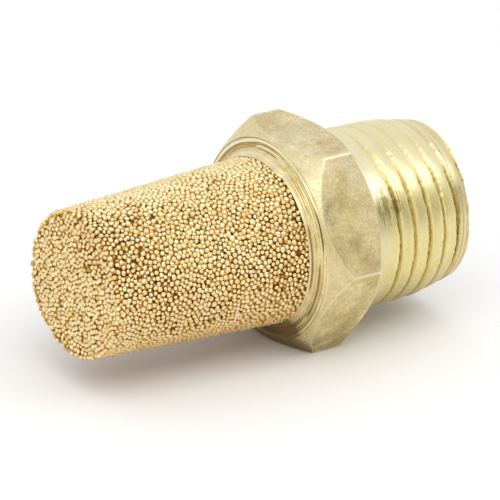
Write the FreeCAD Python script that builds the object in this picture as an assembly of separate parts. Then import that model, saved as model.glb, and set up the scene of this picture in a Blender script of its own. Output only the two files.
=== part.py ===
import FreeCAD, Part
import math
import os

# Pneumatic exhaust muffler: a turned hexagon body with a male pipe thread, and a porous
# sintered bronze cup that is pressed into the body's front and held by a rolled lip.
#
# Millimetres. The axis of the muffler is X and +X points to the free end of the thread.
# x = 0 is the rear face of the hexagon, where the port's face meets it. The hexagon lies
# on one of its flats, so that +Z is the normal of the opposite flat.

V = FreeCAD.Vector

# ---- hexagon --------------------------------------------------------------------------
HEX_ACROSS_FLATS = 15.0
HEX_LENGTH = 4.8
FRONT_CHAMFER_RADIUS = 7.3     # circle where the front face ends and the corner cone starts
FRONT_CHAMFER_DEPTH = 1.49     # how far back that cone reaches at a corner
REAR_CHAMFER_RADIUS = 7.2
REAR_CHAMFER_DEPTH = 1.10

# ---- male thread, 1/4 in. pipe, 19 turns per inch -----------------------------------------
THREAD_LENGTH = 9.0
CREST_RADIUS = 6.58            # of the thread's taper, where it would meet the hexagon
TAPER = 1 / 32                 # fall of the radius along the thread: 1 in 16 on the diameter
SHANK_RADIUS = 6.55            # plain land between the hexagon and the first turn
SHANK_LENGTH = 1.2
LEAD_START = 6.0               # where the long lead-in towards the free end starts
END_RADIUS = 5.8
PITCH = 25.4 / 19
FLANK_ANGLE = 55.0
THREAD_DEPTH = 0.640327 * PITCH
ROOT_FLAT = PITCH / 8
CUTTER_MARGIN = 0.1            # how far the cutter stands outside the crests
RUN_OUT_TURNS = 0.5
RUN_OUT_LIFT = 1.2             # thread depths that the cutter rises in its run-out
LAST_TURN_X = 2.5              # where the full-depth groove ends and its run-out begins

# ---- inside of the body -----------------------------------------------------------------
BORE_RADIUS = 4.2
BORE_CHAMFER = 0.35
SEAT_DEPTH = 3.6               # depth of the counterbore that holds the cup
SEAT_RADIUS = 6.1

# ---- front face: groove and rolled lip ---------------------------------------------------
GROOVE_OUTER_RADIUS = 7.05
GROOVE_INNER_RADIUS = 6.82
GROOVE_DEPTH = 0.22
LIP_HEIGHT = 0.8
LIP_THICKNESS = 0.2            # at its rolled edge

# ---- porous cup ---------------------------------------------------------------------------
CUP_LENGTH = 16.5              # in front of the hexagon
CUP_MOUTH_RADIUS = 6.09        # in the plane of the hexagon's front face
CUP_END_RADIUS = 5.36
CUP_WALL = 2.0
CUP_END_WALL = 2.0
CUP_EDGE_RADIUS = 0.2

HEX_FRONT = -HEX_LENGTH
SEAT_X = HEX_FRONT + SEAT_DEPTH
CUP_END_X = HEX_FRONT - CUP_LENGTH
CUP_SLOPE = (CUP_MOUTH_RADIUS - CUP_END_RADIUS) / CUP_LENGTH


def point(x, r):
    """A point of a turned profile: distance along the axis, and radius."""
    return V(x, 0, r)


def turned(points):
    """The solid that a closed profile sweeps in one turn about the X axis."""
    wire = Part.makePolygon(points + [points[0]])
    return Part.Face(wire).revolve(V(0, 0, 0), V(1, 0, 0), 360)


def crest_radius(x):
    """Radius of the thread's crests at x."""
    return CREST_RADIUS - TAPER * x


def cup_radius(x):
    """Outside radius of the cup's tapered wall at x."""
    return CUP_MOUTH_RADIUS + CUP_SLOPE * (x - HEX_FRONT)


def hexagon_prism(x_from, x_to):
    """A hexagonal bar along X that lies on a flat."""
    corner_radius = HEX_ACROSS_FLATS / math.sqrt(3)
    corners = []
    for k in range(6):
        angle = math.radians(60 * k)
        corners.append(V(x_from, corner_radius * math.cos(angle), corner_radius * math.sin(angle)))
    wire = Part.makePolygon(corners + [corners[0]])
    return Part.Face(wire).extrude(V(x_to - x_from, 0, 0))


def body_blank():
    """The turned body before threading: lip, groove, chamfered hexagon, shank, bores."""
    corner_radius = HEX_ACROSS_FLATS / math.sqrt(3)
    lip_x = HEX_FRONT - LIP_HEIGHT
    lip_bore = cup_radius(lip_x)
    profile = [
        point(lip_x, lip_bore),
        point(lip_x, lip_bore + LIP_THICKNESS),
        point(HEX_FRONT, GROOVE_INNER_RADIUS),
        point(HEX_FRONT + GROOVE_DEPTH, GROOVE_INNER_RADIUS),
        point(HEX_FRONT + GROOVE_DEPTH, GROOVE_OUTER_RADIUS),
        point(HEX_FRONT, GROOVE_OUTER_RADIUS),
        point(HEX_FRONT, FRONT_CHAMFER_RADIUS),
        point(HEX_FRONT + FRONT_CHAMFER_DEPTH, corner_radius),
        point(-REAR_CHAMFER_DEPTH, corner_radius),
        point(0, REAR_CHAMFER_RADIUS),
        point(0, SHANK_RADIUS),
        point(SHANK_LENGTH, SHANK_RADIUS),
        point(SHANK_LENGTH, crest_radius(SHANK_LENGTH)),
        point(LEAD_START, crest_radius(LEAD_START)),
        point(THREAD_LENGTH, END_RADIUS),
        point(THREAD_LENGTH, BORE_RADIUS + BORE_CHAMFER),
        point(THREAD_LENGTH - BORE_CHAMFER, BORE_RADIUS),
        point(SEAT_X, BORE_RADIUS),
        point(SEAT_X, SEAT_RADIUS),
        point(HEX_FRONT, SEAT_RADIUS),
        point(HEX_FRONT, CUP_MOUTH_RADIUS),
    ]
    margin = 1.0
    bar = hexagon_prism(lip_x - margin, THREAD_LENGTH + margin)
    return turned(profile).common(bar)


def helix(radius, z, height, cone_angle):
    """A right-hand helix about Z that starts on the XZ plane at this radius and height."""
    wire = Part.makeHelix(PITCH, height, radius, cone_angle)
    wire.translate(V(0, 0, z))
    return wire


def helical_cutter(crest, height, cone_angle):
    """A groove's worth of metal that winds up the Z axis, widest outside and flat inside.

    crest is the crest radius at its lower end, and cone_angle is how its radius grows.
    """
    outer = crest + CUTTER_MARGIN
    root = crest - THREAD_DEPTH
    half_root = ROOT_FLAT / 2
    half_mouth = half_root + (outer - root) * math.tan(math.radians(FLANK_ANGLE / 2))
    section = [(outer, -half_mouth), (root, -half_root), (root, half_root), (outer, half_mouth)]
    rails = [helix(radius, z, height, cone_angle) for radius, z in section]
    faces = []
    for k in range(4):
        faces.extend(Part.makeRuledSurface(rails[k], rails[(k + 1) % 4]).Faces)
    for end in (0, -1):
        tips = [rail.OrderedVertexes[end].Point for rail in rails]
        faces.append(Part.Face(Part.makePolygon(tips + [tips[0]])))
    shell = Part.makeShell(faces)
    shell.sewShape()
    cutter = Part.makeSolid(shell)
    if cutter.Volume < 0:
        cutter.reverse()
    return cutter


def wound(turns, height, cone_angle):
    """A cutter that starts this many turns from the free end, laid along X."""
    start = THREAD_LENGTH + PITCH * (1 - turns)
    cutter = helical_cutter(crest_radius(start), height, cone_angle)
    cutter.rotate(V(0, 0, 0), V(0, 0, 1), 360 * turns)
    cutter.rotate(V(0, 0, 0), V(0, 1, 0), -90)
    cutter.translate(V(start, 0, 0))
    return cutter


def thread_cutters():
    """The groove, turn by turn from beyond the free end, and its run-out towards the shank."""
    taper_angle = math.degrees(math.atan(TAPER))
    full_turns = (THREAD_LENGTH + PITCH - LAST_TURN_X) / PITCH
    cutters = []
    for k in range(math.ceil(full_turns)):
        length = min(1, full_turns - k) * PITCH
        cutters.append(wound(k, length, taper_angle))
    run_out_length = RUN_OUT_TURNS * PITCH
    lift_angle = math.degrees(math.atan(THREAD_DEPTH * RUN_OUT_LIFT / run_out_length))
    cutters.append(wound(full_turns, run_out_length, lift_angle))
    return cutters


def hex_body():
    """The whole metal body, threaded."""
    body = body_blank()
    for cutter in thread_cutters():
        body = body.cut(cutter)
    return body


def sintered_cup():
    """The porous cup: straight in its seat, tapered outside, closed at its free end."""
    inner_mouth = SEAT_RADIUS - CUP_WALL
    inner_end = CUP_END_RADIUS - CUP_WALL
    profile = [
        point(SEAT_X, inner_mouth),
        point(SEAT_X, SEAT_RADIUS),
        point(HEX_FRONT, SEAT_RADIUS),
        point(HEX_FRONT, CUP_MOUTH_RADIUS),
        point(CUP_END_X, CUP_END_RADIUS),
        point(CUP_END_X, 0),
        point(CUP_END_X + CUP_END_WALL, 0),
        point(CUP_END_X + CUP_END_WALL, inner_end),
    ]
    cup = turned(profile)
    rims = []
    for edge in cup.Edges:
        on_end = abs(edge.BoundBox.XMin - CUP_END_X) < 1e-6 and edge.BoundBox.XLength < 1e-6
        if on_end and edge.BoundBox.ZLength > CUP_END_RADIUS:
            rims.append(edge)
    return cup.makeFillet(CUP_EDGE_RADIUS, rims)


def main():
    os.makedirs("parts", exist_ok=True)
    nodes = {"hex_body": hex_body(), "sintered_element": sintered_cup()}
    for name, shape in nodes.items():
        shape.exportStep("parts/" + name + ".step")
        box = shape.BoundBox
        print(name, "valid", shape.isValid(), "solids", len(shape.Solids),
              "volume", round(shape.Volume, 1), "x", round(box.XMin, 3), round(box.XMax, 3))


main()
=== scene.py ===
import math

import bpy
import numpy as np
from mathutils import Matrix, Vector
from mathutils.kdtree import KDTree


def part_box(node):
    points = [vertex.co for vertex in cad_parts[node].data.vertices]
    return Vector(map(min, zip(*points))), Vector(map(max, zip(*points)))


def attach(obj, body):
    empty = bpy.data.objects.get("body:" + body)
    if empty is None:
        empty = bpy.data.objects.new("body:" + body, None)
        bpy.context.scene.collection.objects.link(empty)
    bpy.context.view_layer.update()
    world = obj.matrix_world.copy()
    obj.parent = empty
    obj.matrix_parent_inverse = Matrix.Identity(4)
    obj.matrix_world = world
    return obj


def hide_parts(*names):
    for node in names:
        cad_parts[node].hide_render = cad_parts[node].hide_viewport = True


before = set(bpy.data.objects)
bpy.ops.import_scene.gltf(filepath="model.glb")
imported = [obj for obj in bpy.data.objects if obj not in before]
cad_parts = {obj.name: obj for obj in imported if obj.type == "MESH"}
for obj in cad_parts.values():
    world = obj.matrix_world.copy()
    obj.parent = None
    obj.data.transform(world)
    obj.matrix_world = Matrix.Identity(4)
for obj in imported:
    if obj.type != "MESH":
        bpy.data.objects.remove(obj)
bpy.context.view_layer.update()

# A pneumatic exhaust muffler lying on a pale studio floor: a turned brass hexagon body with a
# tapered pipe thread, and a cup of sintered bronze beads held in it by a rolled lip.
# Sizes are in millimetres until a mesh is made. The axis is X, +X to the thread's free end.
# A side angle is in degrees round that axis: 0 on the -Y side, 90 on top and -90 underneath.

MM = 0.001
rng = np.random.default_rng(19)     # draws the beads

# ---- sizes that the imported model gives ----
body_low, body_high = (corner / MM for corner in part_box("hex_body"))
cup_low, cup_high = (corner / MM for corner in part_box("sintered_element"))
ACROSS_FLATS = body_high.z - body_low.z
THREAD_END = body_high.x
LIP_X = body_low.x                  # the lip's edge
CUP_END = cup_low.x                 # the cup's closed end
CUP_RIM_X = cup_high.x              # the cup's open rim, deep in the body
FLOOR_Z = body_low.z

# ---- hexagon ----
HEX_FRONT = -4.8
HEX_CORNERS = tuple(range(0, 360, 60))
COLUMN_STEP = 1.5                   # degrees from one column of points to the next
CORNER_STEPS = (0.3, 0.65, 0.95)    # degrees from a corner to the extra columns beside it
FRONT_CHAMFER_R = 7.3
FRONT_CHAMFER_SLOPE = 0.915
REAR_CHAMFER_R = 7.2
REAR_CHAMFER_SLOPE = 1.33
CORNER_ROUND = 0.16                 # width over which two flats blend
EDGE_ROUND = 0.07                   # and a flat and a chamfer
CONES_ROUND = 0.05                  # and the two chamfers
EDGE_ROWS = 0.11                    # rows this near to a flat's end are closer together

# dull patches on the flats, which on the lower flats are painted shade: place along the axis, side angle,
# their half sizes, and strength, which is below zero on brighter patches
SMUDGES_AND_SHADE = (
    (-4.10, 34, 0.40, 6.0, 1.4),
    (-3.0, 41, 0.6, 5.0, 0.45),
    (-2.4, 51, 0.6, 4.0, 0.5),
    (-2.60, 15, 0.80, 5.0, 0.6),
    (-1.9, 7.5, 0.50, 2.5, 0.5),
    (-2.6, -57, 2.2, 9.0, 0.7),
    (-1.4, -30, 0.5, 25.0, 0.3),
    (-2.2, 73, 0.8, 5.0, 0.5),
    (-1.9, 66, 0.5, 2.0, 0.5),
    (-3.9, -52, 0.6, 5.0, 0.6),
    (-2.1, -46, 0.6, 5.0, 0.45),
    (-3.3, 104, 0.7, 6.0, 0.3),
    (-3.0, 152, 0.9, 9.0, 0.7),
    (-1.9, -110, 0.8, 7.0, 0.6),
    (-1.5, 50, 0.9, 9.0, -0.8),
    (-3.1, 57, 0.9, 4.0, -0.6),
    (-1.3, 25, 0.7, 9.0, -0.4),
    (-2.4, 90, 3.0, 25.0, -0.45),
    (-3.1, -157, 0.6, 5.0, 0.8),
)

# ---- thread: 1/4 in. pipe, taper 1 in 16 on the diameter ----
PITCH = 25.4 / 19
SHANK_R = 6.58
TAPER = 1 / 32
LEAD_START = 5.94
END_R = 5.8
END_FACE_R = 5.1                    # a ring of points halfway across the free end's face
GROOVE_X = 2.01                     # where the first full groove crosses the top
RUN_OUT_FROM = 1.0
RUN_OUT_TO = 2.1
NOTCH_DEPTH = 0.30                  # the groove's narrow bottom
NOTCH_WIDTH = 0.125
NOTCH_WORN = 0.55                   # share of its depth that is worn away or filled on top
CREST_BULGE = 0.075                 # fall of a rounded crest from its middle to the groove
BURR = 0.055                        # how far the groove strays sideways
THREAD_ROWS = 215

# bright lines of rubbed metal and painted highlight: place along the axis, half width, from and to which
# side angle, strength
SCUFFS_AND_SHEEN = (
    (0.42, 0.20, 33, 80, 1.0),
    (0.90, 0.05, 38, 85, 0.9),
    (1.18, 0.04, 35, 80, 0.8),
    (1.40, 0.03, 42, 86, 0.7),
    (1.95, 0.07, 47, 90, 1.0),
    (8.32, 0.06, -70, 70, 0.7),
)
# dirty lines near the free end: place along the axis, half width, from and to which side angle
END_LINES = (
    (7.80, 0.07, -75, 75),
    (8.12, 0.05, -60, 20),
    (8.60, 0.09, -80, 60),
)
# streaks of the stains, from place to place along the axis: how dark, and how far round they lie
STREAK_GRID = np.arange(0, 9.2, 0.075)
STREAKS = np.random.default_rng(83).uniform(-1, 1, (2, len(STREAK_GRID)))

# ---- inside of the body ----
BORE_R = 4.2
BORE_ROWS = 8
SEAT_R = 6.1
SEAT_ROOM = 0.03                    # how far the seat stands off the cup

# the free end's inner edge: distance from the end, step out from the bore, wear
BORE_CHAMFER = (
    (0.0, 0.36, 0.3),
    (0.03, 0.31, 0.5),
    (0.33, 0.02, 0.4),
    (0.38, 0.0, 0.2),
)

# ---- lip and groove ----
LIP_EDGE_R = 6.06
LIP_ROOT_R = 6.82
LIP_ROWS = 56
LIP_BENT_BACK = 0.20                # how far the edge is pushed back along part of the ring
LIP_HOLD = 0.8                      # how far behind the edge that bend still shows
DENT_SIDE = 71                      # side angle where the bent part ends in a small dent
DENT_WIDTH = 2.2
DENT_DEPTH = 0.05
LINE_FULL_DEPTH = 0.055             # lines this deep are fully darkened, with dirt and painted shade

# inside of the lip, beside the cup: distance behind its edge, radius, wear, dirt and painted shade
LIP_INSIDE = (
    (0.95, 6.12, 0.0, 0.4),
    (0.50, 6.03, 0.0, 0.2),
    (0.24, 5.96, 0.0, 0.0),
    (0.09, 5.95, 0.1, 0.0),
    (0.03, 5.98, 0.3, 0.0),
)
# turned or rolled lines in the lip: radius, depth, half width, from and to which side angle
LIP_LINES = (
    (6.64, 0.050, 0.085, -38, 6),
    (6.44, 0.050, 0.025, -80, -36),
    (6.55, 0.050, 0.030, -75, -30),
    (6.43, 0.045, 0.025, 36, 68),
    (6.56, 0.030, 0.025, 40, 68),
    (6.70, 0.030, 0.040, 20, 66),
    (6.45, 0.030, 0.040, 12, 26),
    (6.20, 0.050, 0.080, -16, 32),
    (6.62, 0.065, 0.035, 80, 102),
    (6.78, 0.020, 0.020, -50, 0),
    (6.72, 0.045, 0.090, 104, 128),
    (6.62, 0.040, 0.060, 118, 165),
    (6.40, 0.025, 0.020, 170, 260),
)
# raised lines in the lip: radius, height, half width, from and to which side angle
LIP_RIDGES = (
    (6.33, 0.055, 0.040, 37, 68),
    (6.49, 0.045, 0.030, 45, 67),
    (6.76, 0.050, 0.040, 62, 103),
    (6.48, 0.045, 0.040, -34, 8),
    (6.28, 0.030, 0.050, 72, 118),
    (6.60, 0.030, 0.030, -62, -36),
    (6.45, 0.040, 0.040, 175, 250),
)

GROOVE_IN = 6.84
GROOVE_OUT = 7.02
GROOVE_DEPTH = 0.22
GROOVE_WIDER = 0.12                 # how much wider it is along one stretch

# the groove's inner wall downwards and its outer wall upwards: depth, radius, wear, dirt and painted shade
GROOVE_INNER_WALL = (
    (0.0, GROOVE_IN - 0.015, 0.1, 0.2),
    (0.03, GROOVE_IN, 0.0, 0.5),
    (0.12, GROOVE_IN + 0.01, 0.0, 0.9),
    (GROOVE_DEPTH, GROOVE_IN + 0.03, 0.0, 1.0),
)
GROOVE_OUTER_WALL = (
    (GROOVE_DEPTH, GROOVE_OUT - 0.03, 0.0, 1.0),
    (0.12, GROOVE_OUT - 0.01, 0.0, 0.9),
    (0.03, GROOVE_OUT, 0.1, 0.5),
    (0.0, GROOVE_OUT + 0.02, 0.5, 0.1),
)
# the ridge outside it: height, radius, share of the groove's straying, share of the ridge's painted
# highlight
GROOVE_RIDGE = (
    (0.09, GROOVE_OUT + 0.035, 1.0, 0.5),
    (0.14, GROOVE_OUT + 0.055, 1.0, 1.0),
    (0.13, GROOVE_OUT + 0.085, 0.9, 1.0),
    (0.05, GROOVE_OUT + 0.120, 0.7, 1.0),
)

# ---- cup ----
CUP_MOUTH_R = 6.09
CUP_END_R = 5.36
CUP_WALL = 2.0
CUP_EDGE = 0.22
CORE_STEPS = 128                    # points round the dark core
BEAD = 0.395                        # usual bead diameter
CLOSE_PACKED = 0.866 * BEAD * BEAD  # area that one bead takes up in a close packing
BEAD_SIDES = 9
BEAD_TILTS = (29, 58, 88, 118)      # degrees from a bead's top to its rings of points
BEAD_SQUASH = (0.86, 1.12)          # range of a bead's size along each of its directions
BEAD_LUMPS = 0.075                  # usual unevenness of a bead, as a share of its radius
SUNK_ON_END = 0.075                 # how far beads usually sink in, on the closed end
SUNK_ON_WALL = 0.025                # and on the wall
DEEPER_SHARE = 0.08                 # share of the beads that sink further in
DEEPER = (0.02, 0.07)               # and how much further
NEAR = BEAD * 1.5                   # beads closer than this are neighbours
NEAR_ROUNDS = 6                     # rounds of pushing before neighbours are looked up again
PUSH = 0.45                         # share of an overlap that a push undoes on each side


# ==============================================
# Camera, floor and light
# ==============================================

CAM_AZIMUTH = math.radians(-37.37)
CAM_ELEVATION = math.radians(24.28)
CAM_ROLL = math.radians(3.46)
CAM_DISTANCE = 649.3
CAM_LENS = 663.6
CAM_AIM = (-4.954, -1.804)          # right and up of the origin, across the view


def make_camera():
    """A long lens at the viewing angle, aimed a little off the origin, with a small roll."""
    ca, sa = math.cos(CAM_AZIMUTH), math.sin(CAM_AZIMUTH)
    ce, se = math.cos(CAM_ELEVATION), math.sin(CAM_ELEVATION)
    back = Vector((sa * ce, -ca * ce, se))
    right = Vector((0, 0, 1)).cross(back).normalized()
    up = back.cross(right)
    cr, sr = math.cos(CAM_ROLL), math.sin(CAM_ROLL)
    right, up = cr * right + sr * up, cr * up - sr * right
    place = right * CAM_AIM[0] + up * CAM_AIM[1] + back * CAM_DISTANCE
    data = bpy.data.cameras.new("camera")
    data.lens = CAM_LENS
    data.sensor_width = 36.0
    data.clip_start = 0.01
    camera = bpy.data.objects.new("camera", data)
    turn = Matrix((right, up, back)).transposed().to_4x4()
    camera.matrix_world = Matrix.Translation(place * MM) @ turn
    bpy.context.scene.collection.objects.link(camera)
    bpy.context.scene.camera = camera


# soft boxes: name, place, what it points at, its two sides, power
SOFT_BOXES = (
    ("overhead_left", (-135, -105, 210), (-135, -65, 0), (430, 184), 0.28),
    ("overhead_right", (190, -140, 210), (190, -110, 0), (200, 130), 0.10),
)


def soft_box(name, place, target, size, power):
    """A rectangular area light."""
    data = bpy.data.lights.new(name, "AREA")
    data.shape = "RECTANGLE"
    data.size, data.size_y = size[0] * MM, size[1] * MM
    data.energy = power
    light = bpy.data.objects.new(name, data)
    direction = (Vector(target) - Vector(place)).normalized()
    turn = direction.to_track_quat("-Z", "Y").to_matrix().to_4x4()
    light.matrix_world = Matrix.Translation(Vector(place) * MM) @ turn
    bpy.context.scene.collection.objects.link(light)


ROOM_LIGHT = 0.88
ROOM_BACK = 0.14                    # how much brighter the room is behind the muffler
ROOM_DARK = 0.64                    # share of the light left towards the open front right
ROOM_WARM = (1.0, 0.985, 0.955)
ROOM_COOL = (0.98, 1.00, 1.09)      # its colour behind the muffler
BACK_SIDE = (0.45, 0.80, 0.40)
DARK_SIDE = (0.553, -0.80, 0.22)
DARK_INNER = 6.0                    # degrees from the middle of the dark side
DARK_OUTER = 34.0


def make_studio():
    """A bright room, cooler behind and darker on one side, and the soft boxes overhead."""
    world = bpy.data.worlds.new("studio")
    bpy.context.scene.world = world
    world.use_nodes = True
    tree = world.node_tree
    room = tree.nodes["Background"]
    direction = tree.nodes.new("ShaderNodeTexCoord").outputs["Generated"]

    def facing(side, low, high, to_low, to_high):
        """A value that changes smoothly with the angle between a direction and one side."""
        towards = tree.nodes.new("ShaderNodeVectorMath")
        towards.operation = "DOT_PRODUCT"
        towards.inputs[1].default_value = Vector(side).normalized()
        tree.links.new(direction, towards.inputs[0])
        fall = tree.nodes.new("ShaderNodeMapRange")
        fall.interpolation_type = "SMOOTHSTEP"
        fall.inputs["From Min"].default_value = low
        fall.inputs["From Max"].default_value = high
        fall.inputs["To Min"].default_value = to_low
        fall.inputs["To Max"].default_value = to_high
        tree.links.new(towards.outputs["Value"], fall.inputs["Value"])
        return fall.outputs["Result"]

    back = facing(BACK_SIDE, -0.3, 1.0, ROOM_LIGHT, ROOM_LIGHT + ROOM_BACK)
    outer, inner = math.cos(math.radians(DARK_OUTER)), math.cos(math.radians(DARK_INNER))
    dark = facing(DARK_SIDE, outer, inner, 1.0, ROOM_DARK)
    tint = tree.nodes.new("ShaderNodeMix")
    tint.data_type = "RGBA"
    tree.links.new(facing(BACK_SIDE, 0.0, 0.95, 0.0, 1.0), tint.inputs["Factor"])
    tint.inputs[6].default_value = (*ROOM_WARM, 1)
    tint.inputs[7].default_value = (*ROOM_COOL, 1)
    tree.links.new(tint.outputs[2], room.inputs["Color"])
    product = tree.nodes.new("ShaderNodeMath")
    product.operation = "MULTIPLY"
    tree.links.new(back, product.inputs[0])
    tree.links.new(dark, product.inputs[1])
    tree.links.new(product.outputs[0], room.inputs["Strength"])
    for box in SOFT_BOXES:
        soft_box(*box)
    view = bpy.context.scene.view_settings
    view.view_transform = "Standard"
    view.look = "None"


FLOOR_HALF = 2000.0
FLOOR_COLOUR = (0.90, 0.90, 0.89, 1)


def make_floor():
    """A large sheet of pale matt paper, which the hexagon lies on."""
    half = FLOOR_HALF
    corners = [(-half, -half), (half, -half), (half, half), (-half, half)]
    data = bpy.data.meshes.new("floor")
    data.from_pydata([(x * MM, y * MM, FLOOR_Z * MM) for x, y in corners], [], [(0, 1, 2, 3)])
    floor = bpy.data.objects.new("floor", data)
    bpy.context.scene.collection.objects.link(floor)
    material = bpy.data.materials.new("floor_paper")
    material.use_nodes = True
    shader = material.node_tree.nodes["Principled BSDF"]
    shader.inputs["Base Color"].default_value = FLOOR_COLOUR
    shader.inputs["Roughness"].default_value = 0.9
    shader.inputs["Specular IOR Level"].default_value = 0.1
    data.materials.append(material)


# ==============================================
# Helpers
# ==============================================

def mesh_object(name, points, faces):
    """A smooth mesh from an array of points in millimetres and an array of faces of one size."""
    data = bpy.data.meshes.new(name)
    size = faces.shape[1]
    data.vertices.add(len(points))
    data.vertices.foreach_set("co", (np.asarray(points) * MM).astype(np.float32).ravel())
    data.loops.add(faces.size)
    data.loops.foreach_set("vertex_index", faces.astype(np.int32).ravel())
    data.polygons.add(len(faces))
    data.polygons.foreach_set("loop_start", np.arange(0, faces.size, size, dtype=np.int32))
    data.polygons.foreach_set("use_smooth", np.full(len(faces), True))
    data.update(calc_edges=True)
    data.validate()
    piece = bpy.data.objects.new(name, data)
    bpy.context.scene.collection.objects.link(piece)
    return piece


def add_value(piece, name, values):
    """Stores one number per point, for the materials to read."""
    layer = piece.data.attributes.new(name, "FLOAT", "POINT")
    layer.data.foreach_set("value", np.asarray(values, np.float32).ravel())


def soft_min(a, b, width):
    """The smaller of two values, with the corner between them rounded over this width."""
    h = np.maximum(width - np.abs(a - b), 0) / width
    return np.minimum(a, b) - h * h * width / 4


def smooth_step(a, b, x):
    """0 at a and 1 at b, with a smooth rise between them."""
    t = np.clip((x - a) / (b - a), 0, 1)
    return t * t * (3 - 2 * t)


def between(low, high, soft, t):
    """1 where t is between two values, falling to 0 over this softness."""
    return smooth_step(low - soft, low + soft, t) * smooth_step(high + soft, high - soft, t)


def peak(offset, width):
    """1 where the offset is 0, falling to 0 on both sides."""
    return np.exp(-(offset / width) ** 2)


def waves(angle, seed, orders, fall):
    """A smooth random function of the angle round the axis, about -1 to 1.

    It is a sum of one wave for each order, and a wave's height falls with this power of its order.
    """
    source = np.random.default_rng(seed)
    total = np.zeros_like(angle)
    for n in orders:
        wave = np.cos(n * angle + source.uniform(0, 2 * math.pi)) * source.uniform(0.5, 1)
        total += wave / n ** fall
    return total / sum(0.75 / n ** fall for n in orders)


# ==============================================
# Brass body
# ==============================================

def body_angles():
    """Columns round the axis, closer together at the six corners."""
    angles = list(np.arange(0, 360, COLUMN_STEP))
    for corner in HEX_CORNERS:
        for offset in CORNER_STEPS:
            angles += [(corner - offset) % 360, corner + offset]
    return np.radians(np.sort(angles))


def side_angle(angle):
    """The side angle, -180 to 180, of an angle round the axis that starts on the +Y side."""
    return np.mod(360 - np.degrees(angle), 360) - 180


def flat_radius(angle):
    """Distance from the axis to the hexagon at each angle, its corners slightly rounded."""
    sixth = math.radians(60)
    within = np.mod(angle, sixth) - sixth / 2
    near = ACROSS_FLATS / 2 / np.cos(within)
    other = ACROSS_FLATS / 2 / np.cos(sixth - np.abs(within))
    return soft_min(near, other, CORNER_ROUND)


def thread_radius(x, angle):
    """Radius of the threaded shank at each place, and how deep in a groove that place lies."""
    lead_slope = (SHANK_R - TAPER * LEAD_START - END_R) / (THREAD_END - LEAD_START)
    crest = SHANK_R - TAPER * np.minimum(x, LEAD_START)
    crest = crest - lead_slope * np.maximum(x - LEAD_START, 0)
    turn = (x - GROOVE_X) / PITCH - (angle / (2 * math.pi) - 0.25)
    nearest = np.round(turn)
    along = angle + 2 * math.pi * nearest
    across = (turn - nearest) * PITCH
    strength = smooth_step(RUN_OUT_FROM, RUN_OUT_TO, x - across)
    stray = waves(along, seed=31, orders=(2.3, 5.1, 11.7, 23.9, 41.3, 59.7, 83.1), fall=0.12)
    across = across + BURR * stray
    bulge = CREST_BULGE * np.clip(1 - np.abs(across) * 2 / PITCH, 0, 1) ** 2
    ragged = waves(along, seed=37, orders=(3.7, 9.1, 19.3, 33.1, 52.7, 77.9), fall=0.1)
    width = NOTCH_WIDTH * np.clip(1 + 0.7 * ragged, 0.4, 2.0)
    left = 1 - NOTCH_WORN * between(50, 122, 14, side_angle(angle))
    radius = crest - (bulge + NOTCH_DEPTH * left * peak(across, width)) * strength
    return radius, peak(across, width * 0.85) * strength * left


def stains_and_dark_reflection(x, angle):
    """Dirt on the threaded shank besides its grooves, at one x: streaks along the turns, and beside the
    hexagon a patch that is a stain and a painted dark reflection.
    """
    side = side_angle(angle)
    level, drift = (np.interp(x, STREAK_GRID, values) for values in STREAKS)
    # a stain that is also a painted dark reflection of the room's dark side
    patch = peak(side - 29 - 6 * drift, 13 + 3 * level)
    near_hexagon = between(0.42, 3.05, 0.30, x) * patch
    near_end = 0.78 * between(7.45, 8.45, 0.25, x) * between(18, 38, 8, side)
    streak = 0.67 + 0.18 * level
    darkening = streak * np.maximum(near_hexagon, near_end)
    wavy = 0.03 * waves(angle, seed=53, orders=(2, 5, 9, 17), fall=0.3)
    for line, width, low, high in END_LINES:
        shape = peak(x - line - wavy, width)
        darkening = np.maximum(darkening, 0.66 * shape * between(low, high, 10, side))
    return darkening


def scuffs_and_sheen(x, angle):
    """Bright places on the threaded shank, at one x: painted highlight on its upper side, and lines of
    rubbed metal and painted highlight.
    """
    side = side_angle(angle)
    # painted highlight: lighter on the upper side, most where the soft box is seen
    upper = 0.30 * between(36, 150, 9, side) + 0.22 * between(36, 62, 9, side)
    rubbed_and_sheen = between(0.4, 8.4, 0.3, x) * upper
    for line, width, low, high, strength in SCUFFS_AND_SHEEN:
        shape = np.exp(-((x - line) / width) ** 4)
        rubbed_and_sheen = np.maximum(rubbed_and_sheen, strength * shape * between(low, high, 6, side))
    return rubbed_and_sheen


def smudges_and_shade(x, side):
    """Dull patches on the hexagon's flats, painted shade on the lower ones, and below zero the brighter
    ones.
    """
    total = 0 * side
    for at_x, at_side, half_x, half_side, strength in SMUDGES_AND_SHADE:
        away = ((x - at_x) / half_x) ** 2 + ((side - at_side) / half_side) ** 2
        total = total + strength * np.exp(-away)
    return np.clip(total, -1, 1)


# what the brass material reads at each point: how much it is rubbed bright and painted with highlight,
# how much dirt and painted shade it holds, 0 on the hexagon's flats and 1 where the lathe cut, and how
# much it is dulled by stains and painted shade
BRASS_VALUES = ("wear", "recess", "turned", "dull")


class Rings:
    """Rings of points of the brass body, one after another, each with its brass values."""

    def __init__(self, angle):
        self.angle = angle
        self.side = side_angle(angle)
        # the same, but -100 to 260, for marks that run over the top and down the far side
        self.side_far = np.where(self.side < -100, self.side + 360, self.side)
        # painted shade on the body's underside
        self.low_shade = 0.84 * between(-128, -47, 9, self.side)
        self.rows = []

    def add(self, x, r, wear=0.0, recess=0.0, turned=1.0, dull=0.0):
        """One ring. Each value is a number, or an array over the angles."""
        row = (x, r, wear, recess, turned, dull)
        self.rows.append([np.broadcast_to(value, self.angle.shape) for value in row])


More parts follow.
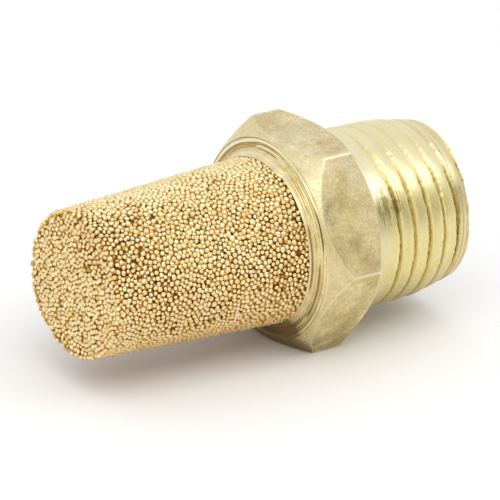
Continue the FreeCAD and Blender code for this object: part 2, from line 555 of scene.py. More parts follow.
def add_lip(rings):
    """The rolled lip: it hugs the cup, and part of its edge is bent back.

    Returns how far the lip's root strays from a true circle, which the groove follows.
    """
    angle, side, side_far = rings.angle, rings.side, rings.side_far
    bent = smooth_step(71.5, 68.5, side) * smooth_step(-140, -80, side)
    dent = peak(side - DENT_SIDE, DENT_WIDTH)
    uneven = 0.03 * waves(angle, seed=3, orders=(1, 2, 3, 5, 8, 13, 21, 34), fall=0.5)
    edge_x = LIP_BENT_BACK * bent + uneven + DENT_DEPTH * dent
    for behind, r, wear, recess in LIP_INSIDE:
        hold = max(0.0, 1 - behind / LIP_HOLD)
        rings.add(LIP_X + behind + edge_x * hold, r + 0.3 * uneven, wear, recess)

    wobble = 0.02 * waves(angle, seed=11, orders=(1, 2, 3, 5, 7), fall=0.3)
    shift = wobble + 0.07 * between(-15, 70, 20, side) - 0.16 * between(103, 170, 10, side_far)
    slant = math.atan2(HEX_FRONT - LIP_X, LIP_ROOT_R - LIP_EDGE_R)
    # painted highlight along the lip's edge, strongest on its lit upper front
    edge_sheen = 0.25 + 0.75 * between(34, 68, 4, side)
    # u is 0 at the lip's edge and 1 at its root
    for u in np.concatenate([[-0.02], np.linspace(0.015, 1, LIP_ROWS)]):
        r = LIP_EDGE_R + (LIP_ROOT_R + shift - wobble - LIP_EDGE_R) * u
        x = LIP_X + edge_x + (HEX_FRONT - LIP_X - edge_x) * max(u, 0) ** (1 - 0.25 * bent)
        lift = 0 * angle
        darkening = 0 * angle
        for radius, depth, width, low, high in LIP_LINES:
            shape = peak(r - radius - wobble, width) * between(low, high, 5, side_far)
            lift = lift - depth * shape
            darkening = np.maximum(darkening, min(1, depth / LINE_FULL_DEPTH) * shape)
        shine = max(0.0, 1 - u / 0.12) * edge_sheen
        for radius, height, width, low, high in LIP_RIDGES:
            shape = peak(r - radius - wobble, width) * between(low, high, 4, side_far)
            lift = lift + height * shape
            # the ridges carry painted highlight
            shine = np.maximum(shine, 0.8 * shape)
        drawn_in = DENT_DEPTH * dent * (1 - u)
        # darkening in the lip's lines and dent, dirt and painted shade, and painted shade on the underside
        recess = np.clip(darkening * 0.9 + rings.low_shade + 0.5 * dent * (u > 0.05), 0, 1)
        rings.add(x - lift * math.cos(slant), r + lift * math.sin(slant) - drawn_in, shine, recess)
    return shift


def add_groove(rings, shift):
    """The groove round the lip, deeper along two stretches, and the ridge outside it."""
    side, side_far, low_shade = rings.side, rings.side_far, rings.low_shade
    stretches = between(14, 38, 7, side) + 0.45 * between(80, 150, 10, side_far)
    deep = 0.12 + 0.88 * np.clip(stretches, 0, 1)
    wide = GROOVE_WIDER * between(14, 38, 5, side)
    for wall, outwards in ((GROOVE_INNER_WALL, 0.0), (GROOVE_OUTER_WALL, wide)):
        for depth, r, wear, darkening in wall:
            # darkening deep in the groove: dirt and painted shade
            recess = darkening * deep + 0.8 * low_shade
            rings.add(HEX_FRONT + depth * deep, r + shift + outwards, wear, recess)

    shift = shift + wide
    # painted highlight on the ridge's upper side
    ridge_sheen = 0.1 + 0.5 * between(42, 160, 8, side_far) + 0.4 * between(78, 160, 10, side_far)
    for height, r, follow, share in GROOVE_RIDGE:
        rings.add(HEX_FRONT - height, r + follow * shift, share * ridge_sheen, low_shade)
    # a dark line between the ridge and the chamfer
    line = np.maximum(low_shade, 0.75 * between(84, 165, 12, side_far))
    for inset in (0.07, 0.05):
        rings.add(HEX_FRONT - 0.02, FRONT_CHAMFER_R - inset + 0.1 * shift, 0.1, line)
    rings.add(HEX_FRONT - 0.01, FRONT_CHAMFER_R - 0.02, recess=low_shade)


def add_hexagon(rings):
    """The hexagon between its two corner cones."""
    angle, side = rings.angle, rings.side
    flat = flat_radius(angle)
    front_x = HEX_FRONT + (flat - FRONT_CHAMFER_R) / FRONT_CHAMFER_SLOPE
    rear_x = -(flat - REAR_CHAMFER_R) / REAR_CHAMFER_SLOPE
    edge = EDGE_ROUND * (1 + 0.5 * waves(angle, seed=5, orders=(3, 7, 11, 17, 23), fall=0.2))
    off_corner = np.abs(np.mod(side + 30, 60) - 30)
    edge_wear = 0.3 + 0.30 * between(-26, -2, 9, side) - 0.18 * between(-120, -34, 10, side)
    edge_dirt = 0.75 * between(3, 57, 2, side)
    # the cones: darker underneath as painted shade, and darker specks over the front
    cone_dirt_and_shade = np.maximum(0.82 * between(-128, -50, 15, side), 0.45 * between(-60, 66, 6, side))
    # painted highlight on the cones' upper front, where the soft box is seen
    cone_sheen = 0.20 * between(30, 66, 6, side)

    def row(x, wear=0.0, border=0.0):
        """One ring. border is 1 where dirt lies along the edge between a flat and its cone."""
        front = FRONT_CHAMFER_R + FRONT_CHAMFER_SLOPE * (x - HEX_FRONT)
        rear = REAR_CHAMFER_R - REAR_CHAMFER_SLOPE * x
        cone = soft_min(front, rear, CONES_ROUND)
        r = soft_min(cone, flat, edge)
        lathed = smooth_step(0.03, -0.01, cone - flat)
        rubbed_and_sheen = np.maximum(wear * edge_wear, 0.6 * (1 - lathed) * peak(off_corner, 1.2))
        rubbed_and_sheen = np.maximum(rubbed_and_sheen, lathed * cone_sheen)
        recess = np.maximum(border * edge_dirt, lathed * cone_dirt_and_shade)
        rings.add(x, r, rubbed_and_sheen, recess, lathed, smudges_and_shade(x, side))

    row(HEX_FRONT + (front_x - EDGE_ROWS - HEX_FRONT) * 0.06, wear=0.5)
    for t in (0.3, 0.55, 0.8, 1.0):
        row(HEX_FRONT + (front_x - EDGE_ROWS - HEX_FRONT) * t)
    for offset in (-0.07, -0.04, -0.015, 0.01, 0.035, 0.07):
        row(front_x + offset, wear=1 - abs(offset) / 0.1, border=1 - abs(offset) / 0.08)
    for t in np.linspace(0, 1, 13):
        row(front_x + EDGE_ROWS + (rear_x - front_x - 2 * EDGE_ROWS) * t)
    for offset in (-0.10, -0.05, -0.01, 0.015, 0.04, 0.07):
        row(rear_x + offset, wear=2.2 * (1 - abs(offset) / 0.14))
    for t in (0.0, 0.5, 0.9):
        row(rear_x + EDGE_ROWS + (-0.02 - rear_x - EDGE_ROWS) * t)


def add_shank(rings):
    """The hexagon's rear face, the threaded shank and its free end."""
    angle = rings.angle
    rings.add(-0.002, REAR_CHAMFER_R - 0.03, wear=0.5)
    rings.add(0.0, REAR_CHAMFER_R - 0.10)
    # painted shade in the corner between the rear face and the shank
    rings.add(0.0, SHANK_R + 0.10, recess=0.3)
    rings.add(0.02, SHANK_R + 0.03, recess=0.5)
    # painted shade on the shank's underside
    shank_low_shade = 0.75 * between(-125, -28, 18, rings.side)
    for x in np.linspace(0.06, THREAD_END - 0.09, THREAD_ROWS):
        r, deep = thread_radius(x, angle)
        patchy = waves(angle + 0.9 * x, seed=61, orders=(1, 2, 3, 5, 8, 13), fall=0.2)
        fading = np.clip(0.78 + 0.18 * patchy, 0.4, 1)
        # darkening in the groove's narrow bottom, dirt and painted shade, and the stains beside it
        darkening = np.maximum(deep * fading, stains_and_dark_reflection(x, angle))
        rings.add(x, r, scuffs_and_sheen(x, angle) * (1 - deep), darkening, dull=shank_low_shade)
    for inset, drop, wear in ((0.05, 0.01, 0.6), (0.02, 0.035, 0.8), (0.0, 0.08, 0.6)):
        r, deep = thread_radius(THREAD_END - inset, angle)
        rings.add(THREAD_END - inset, r - drop, wear, deep)
    rings.add(THREAD_END, END_FACE_R)


def add_inside(rings):
    """The chamfered bore, and the seat that the cup stands in."""
    for inset, step, wear in BORE_CHAMFER:
        rings.add(THREAD_END - inset, BORE_R + step, wear)
    # painted shade inside the bore and on the seat
    for t in np.linspace(0.12, 1, BORE_ROWS):
        rings.add(THREAD_END + (CUP_RIM_X - THREAD_END) * t, BORE_R, recess=0.3)
    rings.add(CUP_RIM_X, SEAT_R + SEAT_ROOM, recess=1.0)
    rings.add(HEX_FRONT - 0.02, SEAT_R + SEAT_ROOM, recess=1.0)


def make_body():
    """The brass body as one closed skin, from the lip over the outside and back inside."""
    angle = body_angles()
    rings = Rings(angle)
    shift = add_lip(rings)
    add_groove(rings, shift)
    add_hexagon(rings)
    add_shank(rings)
    add_inside(rings)
    x, r, *values = (np.array(parts) for parts in zip(*rings.rows))
    points = np.stack([x, r * np.cos(angle), r * np.sin(angle)], -1).reshape(-1, 3)
    n_rows, n = x.shape
    i = np.arange(n_rows)[:, None]
    j = np.arange(n)[None, :]
    next_i, next_j = (i + 1) % n_rows, (j + 1) % n
    corners = [next_i * n + j, next_i * n + next_j, i * n + next_j, i * n + j]
    body = mesh_object("turned_body", points, np.stack(corners, -1).reshape(-1, 4))
    for name, value in zip(BRASS_VALUES, values):
        add_value(body, name, value)
    return body


# ==============================================
# Sintered cup
# ==============================================

def profile_line(corners, spacing=0.05):
    """Points along straight runs, about this far apart."""
    parts = []
    for (x0, r0), (x1, r1) in zip(corners, corners[1:]):
        n = max(2, int(math.hypot(x1 - x0, r1 - r0) / spacing))
        t = np.linspace(0, 1, n, endpoint=False)[:, None]
        parts.append(np.array([x0, r0]) * (1 - t) + np.array([x1, r1]) * t)
    parts.append(np.array([corners[-1]]))
    return np.concatenate(parts)


def rounded(x_end, r_end, radius):
    """Points of a quarter round between an end plane and a wall."""
    out = []
    for a in np.radians(np.linspace(0, 90, 6)):
        out.append((x_end + radius * (1 - math.cos(a)), r_end - radius * (1 - math.sin(a))))
    return out


def outer_line(inset):
    """Profile of the cup's outside, this far under its surface: axis, end, rim, taper, lip."""
    x_end = CUP_END + inset
    r_end = CUP_END_R - inset
    edge = max(CUP_EDGE - inset, 0.03)
    slope = (CUP_MOUTH_R - CUP_END_R) / (HEX_FRONT - CUP_END)
    mouth_x = LIP_X + 0.55
    mouth_r = CUP_END_R + slope * (mouth_x - CUP_END) - inset
    return [(x_end, 0.0)] + rounded(x_end, r_end, edge) + [(mouth_x, mouth_r)]


def inner_line(inset):
    """Profile of the cup's inside, this far into the metal: axis, floor, wall, mouth."""
    x_end = CUP_END + CUP_WALL - inset
    r_end = CUP_END_R - CUP_WALL + inset
    return [(x_end, 0.0), (x_end, r_end), (CUP_RIM_X - 0.1, SEAT_R - CUP_WALL + inset)]


def on_profile(points, line):
    """Moves points to the nearest place on the surface that this profile turns into.

    Returns the places and the surface's normals there, which may point to either side.
    """
    rho = np.hypot(points[:, 1], points[:, 2])
    flat = np.stack([points[:, 0], rho], -1)
    nearest = np.empty(len(points), int)
    batch = 2000
    for k in range(0, len(points), batch):
        gap = ((flat[k:k + batch, None] - line[None]) ** 2).sum(-1)
        nearest[k:k + batch] = gap.argmin(1)
    a = line[np.clip(nearest - 1, 0, len(line) - 1)]
    b = line[np.clip(nearest + 1, 0, len(line) - 1)]
    along = b - a
    t = np.clip(((flat - a) * along).sum(-1) / (along ** 2).sum(-1), 0, 1)
    foot = a + along * t[:, None]
    across = points[:, 1:] / np.maximum(rho, 1e-6)[:, None]
    moved = np.concatenate([foot[:, :1], across * foot[:, 1:]], -1)
    flat_normal = np.stack([-along[:, 1], along[:, 0]], -1)
    flat_normal /= np.linalg.norm(flat_normal, axis=1)[:, None]
    normal = np.concatenate([flat_normal[:, :1], across * flat_normal[:, 1:]], -1)
    return moved, normal


def ring_areas(line):
    """Area of the ring that each short run of a profile turns into, divided by 2 pi."""
    middle_r = (line[1:, 1] + line[:-1, 1]) / 2
    return np.linalg.norm(line[1:] - line[:-1], axis=1) * middle_r


def scatter(count, line):
    """Random points spread evenly over the surface that the profile turns into."""
    area = ring_areas(line)
    k = rng.choice(len(area), count, p=area / area.sum())
    t = rng.random(count)[:, None]
    spot = line[k] * (1 - t) + line[k + 1] * t
    a = rng.random(count) * 2 * math.pi
    return np.stack([spot[:, 0], spot[:, 1] * np.cos(a), spot[:, 1] * np.sin(a)], -1)


def near_pairs(points, reach):
    """Two arrays, with the numbers of every two points that are closer together than this."""
    tree = KDTree(len(points))
    for i, p in enumerate(points):
        tree.insert(p, i)
    tree.balance()
    found = [(i, j) for i, p in enumerate(points) for _, j, _ in tree.find_range(p, reach) if j > i]
    return np.array(found).T


def pack_beads(corners, fill, rounds, size_spread=0.09):
    """Beads that have pushed each other apart over a surface, until few still overlap.

    fill is their number, as a share of what a close packing of usual beads holds.
    """
    line = profile_line(corners)
    count = int(2 * math.pi * ring_areas(line).sum() * fill / CLOSE_PACKED)
    points = scatter(count, line)
    radius = BEAD / 2 * np.clip(rng.normal(1, size_spread, count), 0.75, 1.3)
    for k in range(rounds):
        if k % NEAR_ROUNDS == 0:
            first, second = near_pairs(points, NEAR)
        gap = points[first] - points[second]
        distance = np.maximum(np.linalg.norm(gap, axis=1), 1e-6)
        push = np.maximum(radius[first] + radius[second] - distance, 0) * PUSH
        step = gap / distance[:, None] * push[:, None]
        for axis in range(3):
            points[:, axis] += np.bincount(first, step[:, axis], count)
            points[:, axis] -= np.bincount(second, step[:, axis], count)
        points, normal = on_profile(points, line)
    return points, normal, radius


def bead_shape():
    """A round bead with its far side closed flat: unit points, and its faces as triangles."""
    sides = BEAD_SIDES
    tilts = np.radians(BEAD_TILTS)
    points = [(0.0, 0.0, 1.0)]
    for k, tilt in enumerate(tilts):
        for j in range(sides):
            a = 2 * math.pi * (j + 0.5 * k) / sides
            across = math.sin(tilt)
            points.append((across * math.cos(a), across * math.sin(a), math.cos(tilt)))
    faces = [(0, 1 + j, 1 + (j + 1) % sides) for j in range(sides)]
    for k in range(len(tilts) - 1):
        top, low = 1 + k * sides, 1 + (k + 1) * sides
        for j in range(sides):
            beside = (j + 1) % sides
            faces.append((top + j, low + j, top + beside))
            faces.append((top + beside, low + j, low + beside))
    last = 1 + (len(tilts) - 1) * sides
    faces += [(last, last + j + 1, last + j) for j in range(1, sides - 1)]
    return np.array(points), np.array(faces)


def bead_object(name, centres, normals, radius, tint, deep):
    """One mesh of many slightly uneven beads. Each bead's round side faces along its normal.

    The bronze material reads tint, a random number for each bead, deep, which is 1 on beads of
    the lower layer, and limb, which is 0 on a bead's top and grows to 1 at its sides.
    """
    shape, faces = bead_shape()
    n = len(centres)
    helper = np.where(np.abs(normals[:, :1]) < 0.9, [[1.0, 0, 0]], [[0, 1.0, 0]])
    side = np.cross(normals, helper)
    side /= np.linalg.norm(side, axis=1)[:, None]
    other = np.cross(normals, side)
    spin = rng.random(n) * 2 * math.pi
    u = side * np.cos(spin)[:, None] + other * np.sin(spin)[:, None]
    v = np.cross(normals, u)
    squash = rng.uniform(*BEAD_SQUASH, (n, 3, 1))
    basis = np.stack([u, v, normals], 1) * squash
    lumps = 1 + rng.normal(0, BEAD_LUMPS, (n, len(shape), 1))
    points = centres[:, None] + radius[:, None, None] * lumps * np.einsum("pk,nkc->npc", shape, basis)
    index = faces[None] + (np.arange(n) * len(shape))[:, None, None]
    piece = mesh_object(name, points.reshape(-1, 3), index.reshape(-1, 3))
    add_value(piece, "tint", np.repeat(tint, len(shape)))
    add_value(piece, "deep", np.full(n * len(shape), deep))
    add_value(piece, "limb", np.tile(np.clip(1 - shape[:, 2], 0, 1), n))
    return piece


def split_beads(name, centres, normal, radius, deep, parts):
    """The beads as a few meshes, one behind another along the axis."""
    tint = rng.random(len(centres))
    order = np.argsort(centres[:, 0])
    pieces = []
    for k, group in enumerate(np.array_split(order, parts)):
        chosen = [values[group] for values in (centres, normal, radius, tint)]
        pieces.append(bead_object(f"{name}_{k + 1}", *chosen, deep))
    return pieces


def outward(points, normal, outer):
    """Turns normals so that they point away from the metal, out of the cup or into its bore."""
    end_zone = 1.0                  # only this near to the end may normals lie along the axis
    middle_x = (CUP_END if outer else CUP_END + CUP_WALL) + end_zone
    away = points.copy()
    away[:, 0] = np.minimum(points[:, 0] - middle_x, 0) * 4
    sign = np.sign((away * normal).sum(-1))
    sign[sign == 0] = 1
    turned = normal * sign[:, None]
    return turned if outer else -turned


def bead_layers():
    """Beads against the cup's outside, a second layer that shows in the gaps, and the inside."""
    pieces = []
    points, normal, radius = pack_beads(outer_line(BEAD * 0.5), fill=1.0, rounds=28, size_spread=0.14)
    normal = outward(points, normal, outer=True)
    n = len(points)
    on_end = points[:, 0] < CUP_END + BEAD * 0.6
    sunk = np.abs(rng.normal(0, 1, n)) * np.where(on_end, SUNK_ON_END, SUNK_ON_WALL)
    sunk += np.where(rng.random(n) < DEEPER_SHARE, rng.uniform(*DEEPER, n), 0.0)
    centres = points + normal * (BEAD / 2 - radius - sunk)[:, None]
    pieces += split_beads("cup_beads", centres, normal, radius, deep=0.0, parts=3)
    points, normal, radius = pack_beads(outer_line(BEAD * 0.9), fill=0.95, rounds=14)
    normal = outward(points, normal, outer=True)
    pieces += split_beads("cup_under_beads", points, normal, radius, deep=1.0, parts=3)
    points, normal, radius = pack_beads(inner_line(-BEAD * 0.4), fill=0.9, rounds=14)
    normal = outward(points, normal, outer=False)
    pieces += split_beads("cup_inner_beads", points, normal, radius, deep=0.0, parts=2)
    return pieces


def lathe(name, profile, steps):
    """The surface that a profile turns into. The profile's two ends may lie on the axis."""
    angle = np.linspace(0, 2 * math.pi, steps, endpoint=False)
    profile = np.array(profile)
    points = np.stack([
        np.repeat(profile[:, :1], steps, 1),
        profile[:, 1:] * np.cos(angle)[None],
        profile[:, 1:] * np.sin(angle)[None],
    ], -1).reshape(-1, 3)
    i = np.arange(len(profile) - 1)[:, None] * steps
    j = np.arange(steps)[None]
    next_i, next_j = i + steps, (j + 1) % steps
    faces = np.stack([i + j, next_i + j, next_i + next_j, i + next_j], -1).reshape(-1, 4)
    return mesh_object(name, points, faces)


def make_core():
    """The metal deep between the beads, dark with painted shade."""
    depth = BEAD * 0.85
    rim = [(CUP_RIM_X, SEAT_R - 0.1), (CUP_RIM_X, SEAT_R - CUP_WALL)]
    profile = outer_line(depth) + rim + inner_line(-depth * 0.6)[::-1]
    return lathe("cup_core", profile, CORE_STEPS)


# ==============================================
# Materials
# ==============================================

class Nodes:
    """Short ways to add the nodes of one material."""

    def __init__(self, name):
        self.material = bpy.data.materials.new(name)
        self.material.use_nodes = True
        self.tree = self.material.node_tree
        self.shader = self.tree.nodes["Principled BSDF"]
        self.place = self.add("ShaderNodeTexCoord").outputs["Object"]

    def add(self, kind, **settings):
        node = self.tree.nodes.new(kind)
        for key, value in settings.items():
            setattr(node, key, value)
        return node

    def put(self, socket, value):
        """Gives a socket its value: another socket's output, a colour or a number."""
        if isinstance(value, bpy.types.NodeSocket):
            self.tree.links.new(value, socket)
        elif isinstance(value, tuple) and len(value) == 3 and socket.type == "RGBA":
            socket.default_value = (*value, 1)
        else:
            socket.default_value = value

    def value(self, name):
        """A number that the mesh stores for each point."""
        return self.add("ShaderNodeAttribute", attribute_name=name).outputs["Fac"]

    def maths(self, operation, a, b=0.0, clamp=False):
        node = self.add("ShaderNodeMath", operation=operation, use_clamp=clamp)
        self.put(node.inputs[0], a)
        self.put(node.inputs[1], b)
        return node.outputs[0]

    def times(self, a, b):
        return self.maths("MULTIPLY", a, b)

    def between(self, value, low, high, to_low=0.0, to_high=1.0):
        """A number that goes smoothly from one value to another as this value does."""
        node = self.add("ShaderNodeMapRange", interpolation_type="SMOOTHSTEP")
        for socket, given in zip(node.inputs, (value, low, high, to_low, to_high)):
            self.put(socket, given)
        return node.outputs["Result"]

    def noise(self, per_mm, detail=3.0, rough=0.55, place=None):
        """Noise with this many features to a millimetre."""
        node = self.add("ShaderNodeTexNoise")
        self.put(node.inputs["Vector"], place or self.place)
        self.put(node.inputs["Scale"], per_mm / MM)
        self.put(node.inputs["Detail"], detail)
        self.put(node.inputs["Roughness"], rough)
        return node.outputs["Fac"]

    def moved(self, x, y, z):
        """The same place, moved this far, so that another noise can be unlike the first."""
        node = self.add("ShaderNodeMapping")
        self.put(node.inputs["Vector"], self.place)
        self.put(node.inputs["Location"], (x * MM, y * MM, z * MM))
        return node.outputs["Vector"]

    def grey(self, value):
        node = self.add("ShaderNodeCombineColor")
        for socket in node.inputs:
            self.put(socket, value)
        return node.outputs[0]

    def mix(self, fac, a, b, blend="MIX"):
        node = self.add("ShaderNodeMix", data_type="RGBA", blend_type=blend)
        self.put(node.inputs["Factor"], fac)
        self.put(node.inputs[6], a)
        self.put(node.inputs[7], b)
        return node.outputs[2]

    def towards(self, colour, other, where, share):
        """A colour that goes this share of the way to another one where the value is 1."""
        return self.mix(self.maths("MULTIPLY", where, share, clamp=True), colour, other)

    def mix_value(self, fac, a, b):
        node = self.add("ShaderNodeMix")
        self.put(node.inputs["Factor"], fac)
        self.put(node.inputs[2], a)
        self.put(node.inputs[3], b)
        return node.outputs[0]

    def bump(self, height, depth_mm, strength, after=None):
        node = self.add("ShaderNodeBump")
        self.put(node.inputs["Height"], height)
        self.put(node.inputs["Distance"], depth_mm * MM)
        self.put(node.inputs["Strength"], strength)
        if after:
            self.put(node.inputs["Normal"], after)
        return node.outputs["Normal"]

    def coordinates(self):
        """The place as x, y and z, in metres."""
        parts = self.add("ShaderNodeSeparateXYZ")
        self.put(parts.inputs[0], self.place)
        return parts.outputs["X"], parts.outputs["Y"], parts.outputs["Z"]

    def turned_place(self, x, y, z):
        """The place as (distance along the axis, radius, 0), in which turned marks are straight."""
        radius = self.maths("SQRT", self.maths("ADD", self.times(y, y), self.times(z, z)))
        joined = self.add("ShaderNodeCombineXYZ")
        self.put(joined.inputs[0], x)
        self.put(joined.inputs[1], radius)
        return joined.outputs[0]

    def finish(self, colour, roughness, normal=None, metallic=1.0):
        self.put(self.shader.inputs["Base Color"], colour)
        self.put(self.shader.inputs["Roughness"], roughness)
        self.put(self.shader.inputs["Metallic"], metallic)
        if normal:
            self.put(self.shader.inputs["Normal"], normal)
        return self.material


# ---- brass ----
STAIN_BROWN = (0.60, 0.465, 0.205)  # small stains, on the flats and on the cones
FLAT_BROWN = (0.63, 0.495, 0.225)
FLAT_PALE = (0.855, 0.74, 0.42)
FLAT_SMUDGED = (0.40, 0.32, 0.17)
FLAT_DULL_AND_SHADE = (0.33, 0.262, 0.15)
FLAT_BRIGHT = (0.86, 0.80, 0.56)
LATHED_BROWN = (0.76, 0.62, 0.32)
LATHED_PALE = (0.86, 0.76, 0.46)
LATHED_DARK_RING = (0.50, 0.38, 0.17)
LATHED_PALE_RING = (0.95, 0.88, 0.60)
LATHED_SPECK = (0.42, 0.29, 0.10)
LIP_OLIVE = (0.73, 0.60, 0.20)
LIP_COPPER = (0.84, 0.54, 0.30)
THREAD_GOLD = (0.77, 0.655, 0.285)
THREAD_PALE = (0.81, 0.725, 0.375)
THREAD_RING = (0.66, 0.54, 0.21)
THREAD_UNDERSIDE_SHADE = (0.56, 0.43, 0.20)
THREAD_NECK = (0.73, 0.69, 0.46)
LEAD_PALE = (0.80, 0.67, 0.32)      # the lead-in at the free end
LEAD_BROWN = (0.52, 0.40, 0.17)
# pale colour of rubbed metal, also used for painted highlights
RUBBED_AND_SHEEN = (0.93, 0.87, 0.65)
# dark colours of dirt, also used for painted shade in hollows and on the underside
GRIME_AND_SHADE = (0.24, 0.158, 0.066)
THREAD_GRIME_AND_SHADE = (0.25, 0.185, 0.055)


def flats_colour(n, wide, small, dull):
    """Tumbled brass: wide brown and pale areas, small stains, smudges, dull patches that are painted shade
    on the lower flats, and bright patches.
    """
    smudge = n.between(n.noise(0.62, 5, 0.7, place=n.moved(2.1, 4.0, 0.7)), 0.55, 0.70)
    dulled_and_shaded = n.times(dull, n.between(n.noise(1.8, 5, 0.75), 0.36, 0.60, 0.28, 1.15))
    colour = n.mix(wide, FLAT_BROWN, FLAT_PALE)
    colour = n.towards(colour, STAIN_BROWN, small, 0.48)
    colour = n.towards(colour, FLAT_SMUDGED, smudge, 0.45)
    colour = n.towards(colour, FLAT_DULL_AND_SHADE, dulled_and_shaded, 0.85)
    return n.towards(colour, FLAT_BRIGHT, dull, -0.8)


def lathed_colour(n, wide, small, streaks, lip):
    """Turned brass on the cones and the lip: specks, and rings that are strongest on the lip."""
    patchy = n.between(n.noise(0.9, 4, 0.65, place=n.moved(0.7, 3.1, 5.2)), 0.40, 0.62)
    specks = n.between(n.noise(3.4, 4, 0.75, place=n.moved(4.2, 1.1, 2.6)), 0.57, 0.70)
    dark_share = n.times(n.mix_value(lip, 0.25, 1.0), 0.75)
    pale = n.times(n.maths("SUBTRACT", 1.0, streaks), n.maths("SUBTRACT", 1.0, patchy))
    colour = n.mix(wide, LATHED_BROWN, LATHED_PALE)
    colour = n.towards(colour, LATHED_DARK_RING, n.times(streaks, patchy), dark_share)
    colour = n.towards(colour, LATHED_PALE_RING, n.times(pale, lip), 0.6)
    colour = n.towards(colour, STAIN_BROWN, small, n.mix_value(lip, 0.30, 0.0))
    colour = n.towards(colour, LATHED_SPECK, specks, 0.70)
    return n.towards(colour, LIP_OLIVE, lip, 0.32)


def thread_colour(n, x, wide, streaks, dull):
    """Brighter brass on the threaded shank, greyer at its neck by the hexagon, with painted shade on its
    underside.
    """
    colour = n.mix(wide, THREAD_GOLD, THREAD_PALE)
    colour = n.towards(colour, THREAD_RING, streaks, 0.30)
    colour = n.towards(colour, THREAD_UNDERSIDE_SHADE, dull, 0.8)
    return n.mix(n.between(x, 1.6 * MM, 0.9 * MM, 0.0, 0.45), colour, THREAD_NECK)


def brass_material():
    """Tumbled and slightly stained brass on the flats, brighter turned brass elsewhere."""
    n = Nodes("turned_brass")
    wear, recess, turned, dull = (n.value(name) for name in BRASS_VALUES)
    x, y, z = n.coordinates()
    # parts of the body
    thread = n.between(x, 0.0, 0.3 * MM)
    lead = n.between(x, 7.2 * MM, 7.8 * MM)
    lip = n.between(x, -4.6 * MM, -4.9 * MM)
    lip_front = n.between(x, -5.00 * MM, -5.25 * MM)
    # noise
    wide = n.between(n.noise(0.35, 4, 0.62), 0.38, 0.66)
    small = n.between(n.noise(1.5, 4, 0.7), 0.36, 0.68)
    grain = n.noise(5.5, 3, 0.7)
    rings = n.noise(5.0, 3, 0.65, place=n.turned_place(x, y, z))
    streaks = n.between(rings, 0.42, 0.62)
    # clean metal
    colour = n.mix(turned, flats_colour(n, wide, small, dull), lathed_colour(n, wide, small, streaks, lip))
    colour = n.mix(thread, colour, thread_colour(n, x, wide, streaks, dull))
    colour = n.towards(colour, n.mix(streaks, LEAD_PALE, LEAD_BROWN), lead, 0.7)
    copper = n.times(lip_front, n.between(n.noise(0.5, 3, 0.6), 0.45, 0.62))
    colour = n.towards(colour, LIP_COPPER, copper, 0.55)
    shade = n.between(grain, 0.3, 0.7, 0.83, 1.12)
    grained = n.mix(1.0, colour, n.grey(shade), blend="MULTIPLY")
    colour = n.mix(n.mix_value(turned, 1.0, 0.4), colour, grained)
    # wear and painted highlight, dirt and painted shade
    colour = n.towards(colour, RUBBED_AND_SHEEN, wear, 0.80)
    crumbs = n.mix_value(thread, grain, n.noise(2.6, 3, 0.75))
    uneven = n.times(n.maths("SUBTRACT", crumbs, 0.5), n.mix_value(thread, 0.6, 0.78))
    # dirt, and painted shade in grooves, creases, the bore and on the underside
    grime_and_shade = n.between(n.maths("ADD", recess, uneven), 0.35, 0.80, 0.0, 0.85)
    colour = n.mix(grime_and_shade, colour, n.mix(thread, GRIME_AND_SHADE, THREAD_GRIME_AND_SHADE))
    # roughness
    rough = n.mix_value(turned, n.between(small, 0, 1, 0.44, 0.54), 0.36)
    rough = n.mix_value(wear, rough, 0.28)
    rough = n.mix_value(grime_and_shade, rough, 0.6)
    # relief: tumbled grain, and turning marks
    relief = n.bump(grain, 0.020, n.mix_value(turned, 0.31, 0.16))
    ring_strength = n.times(turned, n.mix_value(lip, 0.15, 0.8))
    relief = n.bump(rings, 0.030, n.mix_value(thread, ring_strength, 0.32), after=relief)
    return n.finish(colour, rough, relief)


# ---- bronze ----
BEAD_PALE = (0.98, 0.895, 0.57)
BEAD_GOLD = (0.88, 0.69, 0.32)
BEAD_RED = (0.84, 0.58, 0.33)
BEAD_LIGHT = (1.0, 0.94, 0.70)
BEAD_PATCH = (0.90, 0.70, 0.38)
BEAD_UNDERSIDE_SHADE = (0.78, 0.53, 0.23)
BEAD_LIMB_SHADE = (0.58, 0.32, 0.04)
BEAD_UNDER_LAYER_SHADE = (0.52, 0.26, 0.025)
PORE_SHADE_DARK = (0.25, 0.105, 0.012)
PORE_SHADE_LIGHT = (0.40, 0.19, 0.028)


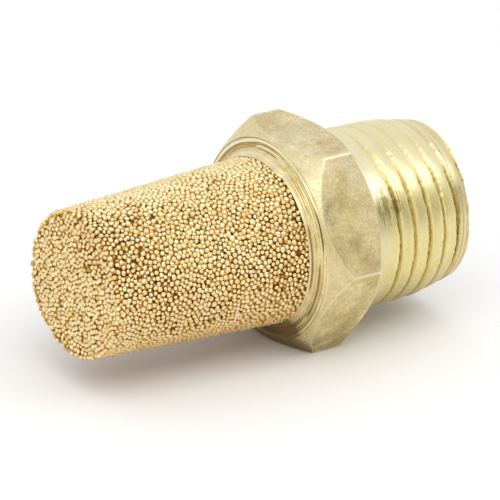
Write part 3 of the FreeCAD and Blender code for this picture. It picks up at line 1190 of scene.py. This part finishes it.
def bronze_material():
    """Sintered bronze: golden beads, each a little different, with painted shade low on their sides."""
    n = Nodes("sintered_bronze")
    tint, deep, limb = n.value("tint"), n.value("deep"), n.value("limb")
    x, _, z = n.coordinates()
    patches = n.between(n.noise(0.25, 3, 0.6), 0.35, 0.65)
    mottle = n.noise(2.4, 2, 0.6, place=n.moved(3.1, 1.2, 4.5))
    colour = n.mix(tint, BEAD_PALE, BEAD_GOLD)
    colour = n.mix(n.between(mottle, 0.56, 0.66, 0.0, 0.45), colour, BEAD_RED)
    colour = n.mix(n.between(mottle, 0.42, 0.34, 0.0, 0.55), colour, BEAD_LIGHT)
    colour = n.towards(colour, BEAD_PATCH, patches, 0.35)
    # painted shade: browner on the wall's underside
    underside_shade = n.between(z, -1.5 * MM, -5.5 * MM, 0.0, 0.92)
    colour = n.towards(colour, BEAD_UNDERSIDE_SHADE, underside_shade, n.between(x, -21.2 * MM, -20.4 * MM))
    # painted shade low on each bead, less of it on the wall's upper side and on the closed end
    upper = n.times(n.between(z, -0.5 * MM, 5.0 * MM), n.between(x, -20.8 * MM, -19.0 * MM))
    limb_shade = n.between(upper, 0.0, 1.0, 0.92, 0.45)
    limb_shade = n.maths("SUBTRACT", limb_shade, n.between(x, -21.0 * MM, -21.3 * MM, 0.0, 0.12))
    colour = n.towards(colour, BEAD_LIMB_SHADE, n.between(limb, 0.12, 0.80), limb_shade)
    # painted shade on the lower layer of beads
    colour = n.towards(colour, BEAD_UNDER_LAYER_SHADE, deep, n.times(limb_shade, 0.8))
    rough = n.mix_value(tint, 0.29, 0.42)
    rough = n.mix_value(deep, rough, 0.5)
    relief = n.bump(n.noise(6.5, 2, 0.5), 0.022, 0.55)
    return n.finish(colour, rough, relief)


def pore_material():
    """The dark metal that shows between the beads: painted shade deep in the gaps."""
    n = Nodes("pores")
    return n.finish(n.mix(n.noise(3.0), PORE_SHADE_DARK, PORE_SHADE_LIGHT), 0.8, metallic=0.6)


# ==============================================
# The muffler
# ==============================================

make_camera()
make_studio()
make_floor()

body = make_body()
body.data.materials.append(brass_material())
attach(body, "root")
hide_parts("hex_body")

core = make_core()
core.data.materials.append(pore_material())
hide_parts("sintered_element")
beads = bead_layers()
bronze = bronze_material()
for piece in beads:
    piece.data.materials.append(bronze)
for piece in [core] + beads:
    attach(piece, "root")
